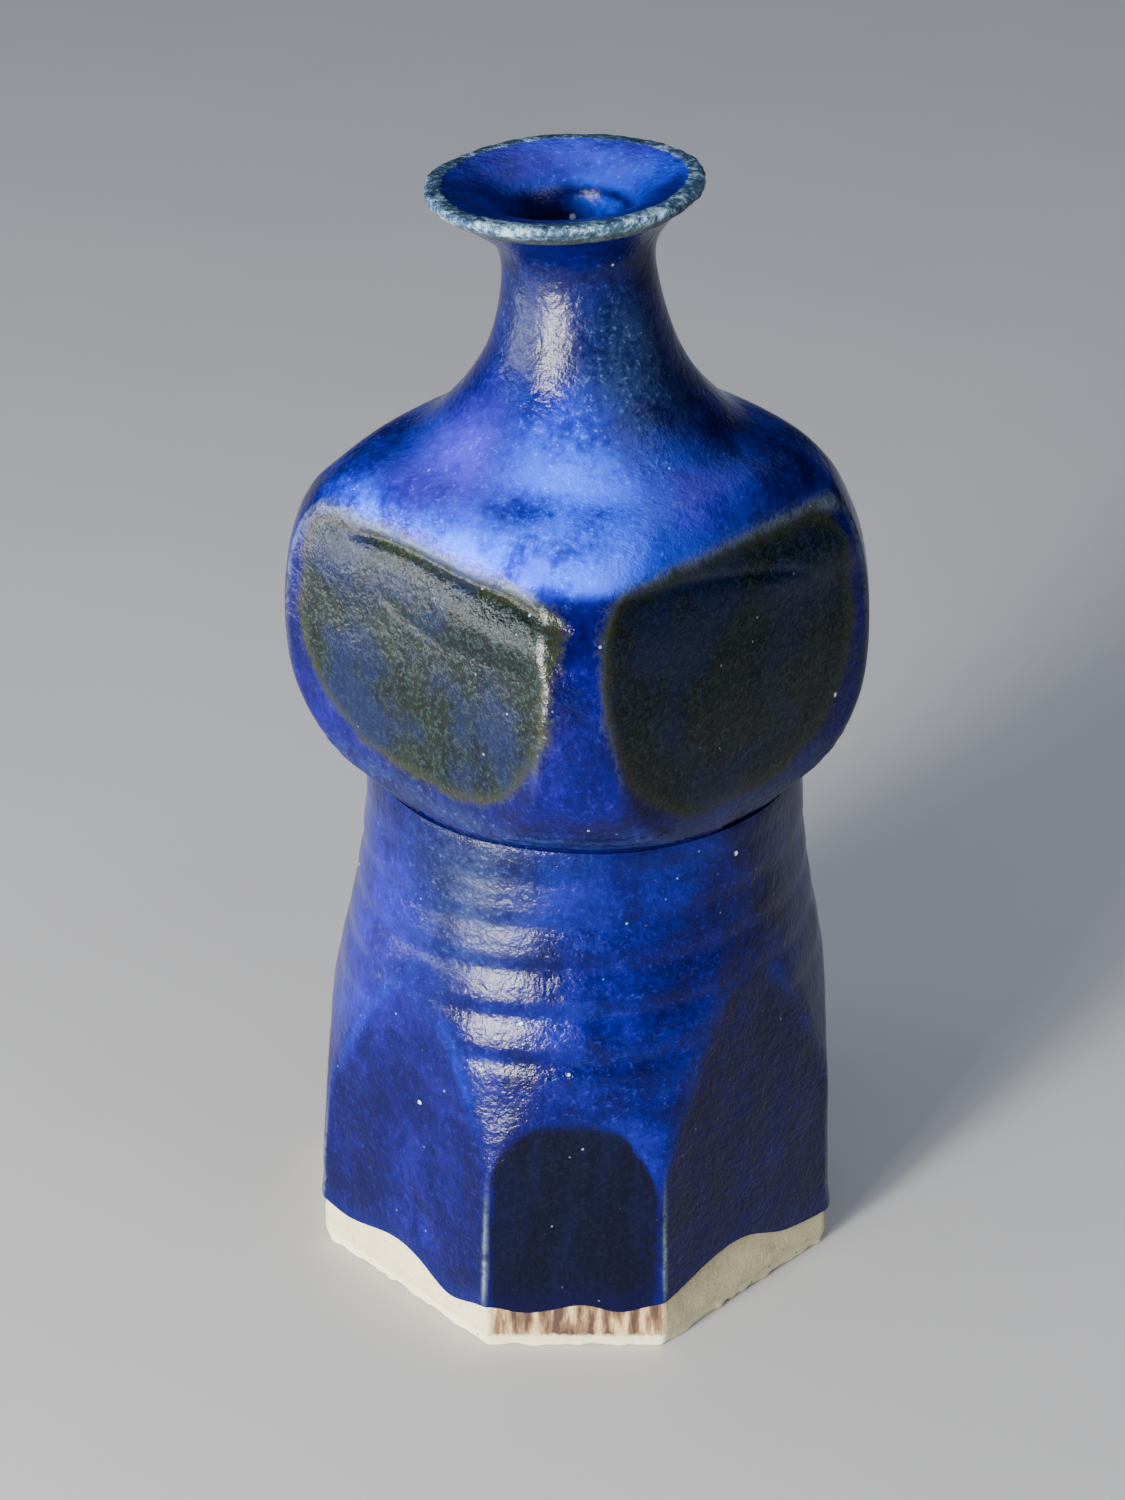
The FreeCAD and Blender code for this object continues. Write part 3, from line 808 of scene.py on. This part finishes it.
def build_slip():
    """The two slip joints, each bent round the end of a section."""
    out, inside = 29.5, 27.4
    waist = circles([
        (SPIGOT_R, WAIST_Z), (out, WAIST_Z), (out, FACE_Z), (SPIGOT_R + SLIP, FACE_Z),
        (SPIGOT_R + SLIP, SPIGOT_TOP + SLIP), (inside, SPIGOT_TOP + SLIP), (inside, SPIGOT_TOP),
        (SPIGOT_R, SPIGOT_TOP),
    ])
    finish(lathe("waist_slip", waist, closed=True), "slip", "waist_slip_seam")
    seam, inside = bulb_inner[-1], 17.6
    neck = circles([(inside, NECK_SOCKET_Z), (SOCKET_R, NECK_SOCKET_Z), (SOCKET_R, NECK_Z)])
    neck += [seam, seam + [0, 0, 0.35]]
    neck += circles([(NECK_FOOT_R, NECK_Z + SLIP), (NECK_FOOT_R, NECK_SOCKET_Z + SLIP),
                     (inside, NECK_SOCKET_Z + SLIP)])
    finish(lathe("neck_slip", neck, closed=True), "slip", "neck_slip_seam")


def build_lining():
    """The thin coat on the inside, from the floor of the foot up to the throat."""
    levels = np.concatenate([[LINING_TOP], np.linspace(133.0, CAVITY_LOW, 120)])
    outside = circles(FLOOR_CURVE[::-1], half_ring) + cavity_rings(levels[::-1], LINING - 0.01, half_ring)
    inside = cavity_rings(levels, 0.0, half_ring) + circles(LINING_CURVE, half_ring)
    piece = lathe("lining_coat", outside + inside, caps=([0, 0, LINING_LOW], [0, 0, LINING_FLOOR_Z]))
    finish(piece, "lining_glaze", "lining_glaze")


build_foot_clay()
build_bulb_clay()
build_neck_clay()
build_slip()
build_lining()


# ---- materials
class Nodes:
    """A short way to write a material's nodes."""

    def __init__(self, name):
        self.material = bpy.data.materials.new(name)
        self.material.use_nodes = True
        self.tree = self.material.node_tree
        self.shader = self.tree.nodes["Principled BSDF"]
        self.position = self.add("ShaderNodeTexCoord").outputs["Object"]

    def add(self, kind, **settings):
        node = self.tree.nodes.new(kind)
        for key, value in settings.items():
            setattr(node, key, value)
        return node

    def put(self, socket, value):
        if isinstance(value, bpy.types.NodeSocket):
            self.tree.links.new(value, socket)
        elif isinstance(value, tuple) and len(value) == 3 and socket.type == "RGBA":
            socket.default_value = (*value, 1)
        else:
            socket.default_value = value

    def math(self, kind, a, b=0.0, c=0.0):
        node = self.add("ShaderNodeMath", operation=kind)
        for socket, value in zip(node.inputs, (a, b, c)):
            self.put(socket, value)
        return node.outputs[0]

    def noise(self, size, detail=3.0, rough=0.55, stretch=None, warp=0.0):
        """Noise with lumps about size mm wide."""
        node = self.add("ShaderNodeTexNoise")
        place = self.position
        if stretch:
            scaled = self.add("ShaderNodeVectorMath", operation="MULTIPLY")
            self.put(scaled.inputs[0], place)
            self.put(scaled.inputs[1], stretch)
            place = scaled.outputs[0]
        self.put(node.inputs["Vector"], place)
        self.put(node.inputs["Scale"], MM / size)
        self.put(node.inputs["Detail"], detail)
        self.put(node.inputs["Roughness"], rough)
        self.put(node.inputs["Distortion"], warp)
        return node.outputs["Fac"]

    def cells(self, size):
        """Cells about size mm wide: the distance from each one's middle, and its own random lots."""
        node = self.add("ShaderNodeTexVoronoi")
        self.put(node.inputs["Vector"], self.position)
        self.put(node.inputs["Scale"], MM / size)
        lots = self.add("ShaderNodeSeparateColor")
        self.put(lots.inputs[0], node.outputs["Color"])
        return node.outputs["Distance"], lots.outputs

    def range(self, value, low, high, to_low=0.0, to_high=1.0):
        node = self.add("ShaderNodeMapRange", interpolation_type="SMOOTHSTEP")
        for socket, v in zip(node.inputs[:5], (value, low, high, to_low, to_high)):
            self.put(socket, v)
        return node.outputs[0]

    def mix(self, factor, a, b):
        node = self.add("ShaderNodeMix", data_type="RGBA")
        self.put(node.inputs[0], factor)
        self.put(node.inputs[6], a)
        self.put(node.inputs[7], b)
        return node.outputs[2]

    def ramp(self, value, *stops):
        node = self.add("ShaderNodeValToRGB")
        self.put(node.inputs[0], value)
        ramp = node.color_ramp
        while len(ramp.elements) < len(stops):
            ramp.elements.new(0.5)
        for element, (place, colour) in zip(ramp.elements, stops):
            element.position, element.color = place, (*colour, 1)
        return node.outputs[0]

    def painted(self, name):
        return self.add("ShaderNodeAttribute", attribute_name=name).outputs["Fac"]

    def bump(self, height, distance, under=None):
        """Relief of a 0 to 1 height, distance mm deep, or as deep as a socket says in metres."""
        node = self.add("ShaderNodeBump")
        self.put(node.inputs["Height"], height)
        linked = isinstance(distance, bpy.types.NodeSocket)
        self.put(node.inputs["Distance"], distance if linked else distance / MM)
        if under is not None:
            self.put(node.inputs["Normal"], under)
        return node.outputs[0]

    def set(self, **values):
        for key, value in values.items():
            self.put(self.shader.inputs[key.replace("_", " ")], value)


# the cobalt glaze from thick to thin, and what breaks in it
COBALT = [(0.32, (0.0002, 0.0, 0.016)), (0.45, (0.0004, 0.0, 0.035)),
          (0.56, (0.0010, 0.0001, 0.062)), (0.70, (0.0045, 0.0020, 0.13))]
COBALT_SPECK = (0.021, 0.024, 0.17)
# deep blue of thick glaze, also the colour of painted shade
DEEP_AND_SHADE_BLUE = [(0.0001, 0.0001, 0.018), (0.002, 0.004, 0.05)]
# milky blue of broken glaze, also the colour of painted reflection and painted light
MILKY_AND_REFLECTION_BLUE = [(0.008, 0.018, 0.50), (0.014, 0.075, 0.85)]
MILKY_AND_REFLECTION_SPECK = (0.10, 0.26, 0.90)
# violet blue of painted reflection
LILAC_REFLECTION_BLUE = [(0.034, 0.020, 0.38), (0.08, 0.08, 0.56)]
# dull grey blue of painted shade and painted haze
HAZE_AND_SHADE_BLUE = [(0.010, 0.022, 0.065), (0.05, 0.10, 0.17)]
THIN_EDGE = [(0.04, 0.08, 0.11), (0.24, 0.31, 0.26)]
EDGE_ROLL = (0.001, 0.002, 0.05)

# the dark glaze of the bulb's panels and of the foot's
IRON = [(0.0006, 0.0018, 0.0022), (0.0028, 0.0050, 0.0026)]
IRON_GRAIN = (0.014, 0.027, 0.031)
IRON_BLUE = (0.002, 0.006, 0.042)
OLIVE = (0.020, 0.022, 0.008)
AMBER = [(0.0001, 0.0003, 0.005), (0.0003, 0.0010, 0.010)]
AMBER_GRAIN = (0.004, 0.008, 0.030)
AMBER_LOW = (0.0004, 0.0004, 0.016)

# the bare-looking rim, its underside, and specks
RIM = [(0.40, (0.008, 0.020, 0.040)), (0.5, (0.024, 0.060, 0.105)), (0.63, (0.26, 0.39, 0.48))]
RIM_UNDER = [(0.004, 0.008, 0.010), (0.05, 0.06, 0.045)]
WHITE_SPECK = (0.55, 0.72, 0.82)
CRUMB = (0.22, 0.36, 0.50)
PINHOLE = (0.01, 0.01, 0.015)

LINING_BLUE = [(0.004, 0.006, 0.10), (0.03, 0.05, 0.32)]

# clay, the bare band near the table, and the toasted front
CLAY = (0.46, 0.42, 0.25)
SLIP_CLAY = (0.50, 0.43, 0.33)
BARE_CLAY = (0.66, 0.62, 0.42)
CLAY_SPECK = (0.10, 0.07, 0.05)
TOAST = [(0.42, (0.030, 0.013, 0.006)), (0.52, (0.125, 0.066, 0.026)), (0.66, (0.40, 0.30, 0.15))]


def blue_glaze(n, broad, middle, fine, grain):
    """Deep blue where the glaze is thick, milky where it breaks, with the painted tints over it, which carry
    painted shade, painted reflection and painted haze as well.
    """
    runs = n.noise(4.2, 4, 0.6, stretch=(1.0, 1.0, 0.22))
    cloud = n.math("MULTIPLY_ADD", broad, 0.6, n.math("MULTIPLY", middle, 0.4))
    cloud = n.math("MULTIPLY_ADD", fine, 0.34, n.math("SUBTRACT", cloud, 0.28))
    cloud = n.math("MULTIPLY_ADD", runs, 0.22, cloud)
    speck = n.range(n.math("MULTIPLY_ADD", fine, 0.62, n.math("MULTIPLY", grain, 0.38)), 0.54, 0.70)
    blue = n.mix(n.math("MULTIPLY", speck, 0.28), n.ramp(cloud, *COBALT), COBALT_SPECK)
    # deep: thick glaze, and painted shade
    deep = n.math("MULTIPLY", n.painted("deep"), n.range(middle, 0.25, 0.6, 1.0, 0.55))
    blue = n.mix(deep, blue, n.mix(speck, *DEEP_AND_SHADE_BLUE))
    # light: milky broken glaze, and painted reflection and painted light
    light = n.math("MULTIPLY", n.painted("light"), n.range(cloud, 0.36, 0.60, 0.32, 1.0))
    milky_and_reflection = n.mix(n.range(broad, 0.38, 0.6), *MILKY_AND_REFLECTION_BLUE)
    blue = n.mix(light, blue, n.mix(n.math("MULTIPLY", speck, 0.60), milky_and_reflection, MILKY_AND_REFLECTION_SPECK))
    # painted violet reflection
    lilac = n.math("MULTIPLY", n.painted("lilac"), n.range(middle, 0.3, 0.6, 0.4, 0.9))
    blue = n.mix(lilac, blue, n.mix(speck, *LILAC_REFLECTION_BLUE))
    uneven = n.math("ADD", middle, fine)
    # painted shade and painted haze in grey blue
    ash = n.math("MULTIPLY", n.painted("ash"), n.range(uneven, 0.75, 1.2, 0.2, 1.0))
    blue = n.mix(ash, blue, n.mix(speck, *HAZE_AND_SHADE_BLUE))
    pale = n.math("MULTIPLY", n.painted("pale"), n.range(uneven, 0.75, 1.15, 0.25, 1.0))
    blue = n.mix(pale, blue, n.mix(fine, *THIN_EDGE))
    return n.mix(n.range(n.painted("low"), 0.4, 4.5, 0.75, 0.0), blue, EDGE_ROLL)


def dark_glaze(n, broad, fine, grain, on_bulb):
    """Granular green-black on the bulb, smoother amber-black on the foot."""
    granules = n.range(n.math("MULTIPLY_ADD", grain, 0.4, n.math("MULTIPLY", fine, 0.6)), 0.46, 0.62)
    streak = n.noise(2.6, 3, 0.6, stretch=(1.0, 1.0, 0.12))
    iron = n.mix(n.range(streak, 0.4, 0.62), *IRON)
    iron = n.mix(n.math("MULTIPLY", granules, 0.6), iron, IRON_GRAIN)
    iron = n.mix(n.math("MULTIPLY", n.range(broad, 0.46, 0.64), 0.5), iron, IRON_BLUE)
    amber = n.mix(n.range(streak, 0.45, 0.7), *AMBER)
    amber = n.mix(n.math("MULTIPLY", granules, 0.2), amber, AMBER_GRAIN)
    amber = n.mix(n.range(n.painted("low"), 0.0, 6.0, 0.8, 0.0), amber, AMBER_LOW)
    return n.mix(on_bulb, amber, iron)


def specks(n, fine, colour):
    """Pale specks, pale crumbs and dark pinholes over a colour, and the relief of the round ones."""
    distance, lots = n.cells(7.5)
    distance = n.math("MULTIPLY_ADD", lots[1], -0.03, distance)
    dot = n.range(n.math("MULTIPLY_ADD", fine, 0.09, distance), 0.05, 0.085, 1.0, 0.0)
    white = n.math("MULTIPLY", dot, n.range(lots[0], 0.72, 0.76))
    black = n.math("MULTIPLY", dot, n.range(lots[0], 0.14, 0.10))
    colour = n.mix(n.math("MULTIPLY", white, 0.8), colour, WHITE_SPECK)
    distance = n.math("MULTIPLY_ADD", fine, 0.12, n.cells(3.1)[0])
    crumb = n.math("MULTIPLY", n.range(distance, 0.09, 0.14, 1.0, 0.0), n.range(n.noise(3.3, 2), 0.52, 0.56))
    colour = n.mix(n.math("MULTIPLY", crumb, 0.5), colour, CRUMB)
    colour = n.mix(n.math("MULTIPLY", black, 0.8), colour, PINHOLE)
    return colour, n.math("ADD", white, black)


def glaze_material():
    """One material for all the outside glaze: the painted values say what it does where."""
    n = Nodes("cobalt_glaze")
    broad, middle, fine = n.noise(17, 4, 0.6), n.noise(5.5, 5, 0.65, warp=0.4), n.noise(0.9, 3, 0.7)
    grain = n.noise(0.42, 2, 0.6)
    on_bulb = n.range(n.painted("low"), 50.0, 55.0)

    # the dark panels, with grainy borders that turn olive on the bulb
    uneven = n.math("MULTIPLY_ADD", middle, 3.4, n.math("MULTIPLY_ADD", fine, 3.2, -3.3))
    panel = n.math("ADD", n.painted("panel"), uneven)
    inside = n.range(panel, -0.5, 0.9)
    blue, dark = blue_glaze(n, broad, middle, fine, grain), dark_glaze(n, broad, fine, grain, on_bulb)
    colour = n.mix(inside, blue, dark)
    border = n.math("MULTIPLY", n.range(panel, -1.0, 0.4), n.range(panel, 2.4, 0.6))
    border = n.math("MULTIPLY", border, on_bulb)
    colour = n.mix(n.math("MULTIPLY", border, 0.42), colour, OLIVE)

    # the rough pale rim
    rim = n.math("ADD", n.painted("rim"), n.math("MULTIPLY_ADD", fine, 0.5, -0.25))
    stone = n.ramp(n.math("MULTIPLY_ADD", fine, 0.5, n.math("MULTIPLY", middle, 0.5)), *RIM)
    stone = n.mix(n.math("MULTIPLY", n.painted("under"), 0.85), stone, n.mix(fine, *RIM_UNDER))
    colour = n.mix(n.range(rim, 0.38, 0.72), colour, stone)
    colour, dots = specks(n, fine, colour)

    rough = n.range(middle, 0.3, 0.7, 0.10, 0.22)
    rough = n.math("ADD", rough, n.math("MULTIPLY", inside, n.math("MULTIPLY", on_bulb, 0.06)))
    rough = n.math("MULTIPLY_ADD", n.painted("ash"), 0.30, rough)
    rough = n.math("ADD", rough, n.math("MULTIPLY", n.range(rim, 0.38, 0.72), 0.3))
    relief = n.bump(n.noise(1.7, 3, 0.6), 0.16)
    relief = n.bump(fine, 0.13, relief)
    relief = n.bump(grain, n.math("MULTIPLY_ADD", inside, 0.012 / MM, 0.014 / MM), relief)
    relief = n.bump(n.math("MULTIPLY", n.noise(0.8, 3, 0.7), n.range(rim, 0.3, 0.8)), 0.38, relief)
    relief = n.bump(dots, -0.06, relief)
    n.set(Base_Color=colour, Roughness=rough, Normal=relief)
    n.shader.inputs["Specular IOR Level"].default_value = 0.20
    return n.material


def lining_material():
    n = Nodes("lining_glaze_inside")
    cloud = n.noise(8, 4, 0.6)
    n.set(Base_Color=n.mix(cloud, *LINING_BLUE), Roughness=n.range(cloud, 0.3, 0.7, 0.2, 0.35),
          Normal=n.bump(n.noise(1.5, 3), 0.05))
    return n.material


def clay_material(name, tone):
    """Sandy clay in a tone: toasted and streaked under the front facet, paler next to the table."""
    n = Nodes(name)
    cloud, grain, sand = n.noise(6, 4, 0.6), n.noise(0.8, 4, 0.7), n.noise(0.3, 2, 0.6)
    body = n.mix(n.range(cloud, 0.3, 0.7), tuple(0.82 * c for c in tone), tone)
    body = n.mix(n.math("MULTIPLY", n.range(grain, 0.48, 0.66), 0.5), body, tuple(0.62 * c for c in tone))
    axes = n.add("ShaderNodeSeparateXYZ")
    n.put(axes.inputs[0], n.position)
    x, y, z = (n.math("MULTIPLY", out, MM) for out in axes.outputs)
    across = n.math("ADD", n.math("ABSOLUTE", x), n.math("MULTIPLY_ADD", cloud, 3.0, -1.5))
    front = n.math("MULTIPLY", n.range(y, -30, -34), n.range(across, 13.4, 12.0))
    streak = n.noise(1.7, 3, 0.6, stretch=(1.0, 1.0, 0.2))
    high = n.range(n.math("ADD", z, n.math("MULTIPLY_ADD", grain, 1.6, -0.8)), 2.0, 3.0)
    body = n.mix(n.math("MULTIPLY", front, high), body, n.ramp(streak, *TOAST))
    bare = n.range(n.math("ADD", z, n.math("MULTIPLY_ADD", grain, 1.2, -0.6)), 3.0, 1.6)
    body = n.mix(n.math("MULTIPLY", bare, 0.5), body, BARE_CLAY)
    distance, lots = n.cells(2.4)
    dot = n.math("MULTIPLY", n.range(distance, 0.06, 0.14, 1.0, 0.0), n.range(lots[0], 0.80, 0.84))
    body = n.mix(dot, body, CLAY_SPECK)
    relief = n.bump(sand, 0.05, n.bump(grain, 0.10))
    n.set(Base_Color=body, Roughness=n.range(grain, 0.3, 0.7, 0.72, 0.92), Normal=relief)
    return n.material


GLAZE_MATERIAL = glaze_material()
SLOT_MATERIALS = {
    "blue_glaze": GLAZE_MATERIAL,
    "dark_glaze": GLAZE_MATERIAL,
    "amber_glaze": GLAZE_MATERIAL,
    "lining_glaze": lining_material(),
    "clay": clay_material("stoneware_clay", CLAY),
    "slip": clay_material("slip_clay", SLIP_CLAY),
}
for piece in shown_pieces():
    if "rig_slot" in piece:
        piece.data.materials.clear()
        piece.data.materials.append(SLOT_MATERIALS[piece["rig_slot"]])


# ---- floor, light and camera
FLOOR_HALF = 6.0
FLOOR_GREY = [(0.33, 0.33, 0.32), (0.36, 0.36, 0.35)]


def floor():
    corners = [(x * FLOOR_HALF, y * FLOOR_HALF, 0) for x, y in ((-1, -1), (1, -1), (1, 1), (-1, 1))]
    mesh = bpy.data.meshes.new("floor")
    mesh.from_pydata(corners, [], [(0, 1, 2, 3)])
    piece = bpy.data.objects.new("floor", mesh)
    bpy.context.scene.collection.objects.link(piece)
    n = Nodes("pale_floor")
    n.set(Base_Color=n.mix(n.noise(60, 3), *FLOOR_GREY), Roughness=0.75)
    mesh.materials.append(n.material)


def soft_light(name, azimuth, elevation, away, size, watts, colour, aim_z):
    """An area light that faces the axis at aim_z: azimuth is from the front towards the right."""
    a, e = math.radians(azimuth), math.radians(elevation)
    back = Vector((math.sin(a) * math.cos(e), -math.cos(a) * math.cos(e), math.sin(e)))
    data = bpy.data.lights.new(name, "AREA")
    data.shape, data.size, data.size_y = "RECTANGLE", size[0], size[1]
    data.energy, data.color = watts, colour
    light = bpy.data.objects.new(name, data)
    light.location = Vector((0, 0, aim_z)) + back * away
    light.rotation_euler = (-back).to_track_quat("-Z", "Y").to_euler()
    bpy.context.scene.collection.objects.link(light)


def surroundings(colour, low, high):
    """A dim world with a bright, even sky above about 42 degrees, which shoulder and mouth reflect."""
    world = bpy.data.worlds.new("surroundings")
    world.use_nodes = True
    tree = world.node_tree
    background = tree.nodes["Background"]
    background.inputs["Color"].default_value = (*colour, 1)
    direction = tree.nodes.new("ShaderNodeTexCoord").outputs["Generated"]
    split = tree.nodes.new("ShaderNodeSeparateXYZ")
    sky = tree.nodes.new("ShaderNodeMapRange")
    sky.interpolation_type = "SMOOTHSTEP"
    for socket, value in zip(sky.inputs[1:5], (0.62, 0.72, low, high)):
        socket.default_value = value
    tree.links.new(direction, split.inputs[0])
    tree.links.new(split.outputs["Z"], sky.inputs[0])
    tree.links.new(sky.outputs[0], background.inputs["Strength"])
    bpy.context.scene.world = world


SKY_COLOUR = (0.70, 0.77, 1.0)
WARM_WHITE = (1.0, 0.97, 0.93)
WALL_WHITE = (0.97, 0.97, 1.0)
SKY_WHITE = (0.92, 0.95, 1.0)

floor()
surroundings(SKY_COLOUR, 0.025, 1.2)
soft_light("window_front_left", -38, 2, 0.75, (0.30, 0.19), 22.0, WARM_WHITE, 0.10)
soft_light("window_high_left", -39, 17, 0.75, (0.12, 0.16), 10.0, WARM_WHITE, 0.11)
soft_light("wall_far_left", -84, -1, 0.80, (0.40, 0.13), 4.5, WALL_WHITE, 0.11)
soft_light("sky_gap_right", 48, 50, 0.75, (0.30, 0.25), 1.0, SKY_WHITE, 0.09)

# the photo's view: about half a metre away, looking 30 degrees down
CAMERA_PLACE = (0.0, -0.4013, 0.3099)
CAMERA_DOWN = 29.88
CAMERA_TURN = 0.345
camera_data = bpy.data.cameras.new("camera")
camera_data.lens = 77.0
camera_data.sensor_width = 36.0
camera_data.clip_start = 0.01
camera = bpy.data.objects.new("camera", camera_data)
camera.location = CAMERA_PLACE
camera.rotation_euler = (math.radians(90 - CAMERA_DOWN), 0.0, math.radians(CAMERA_TURN))
bpy.context.scene.collection.objects.link(camera)
bpy.context.scene.camera = camera
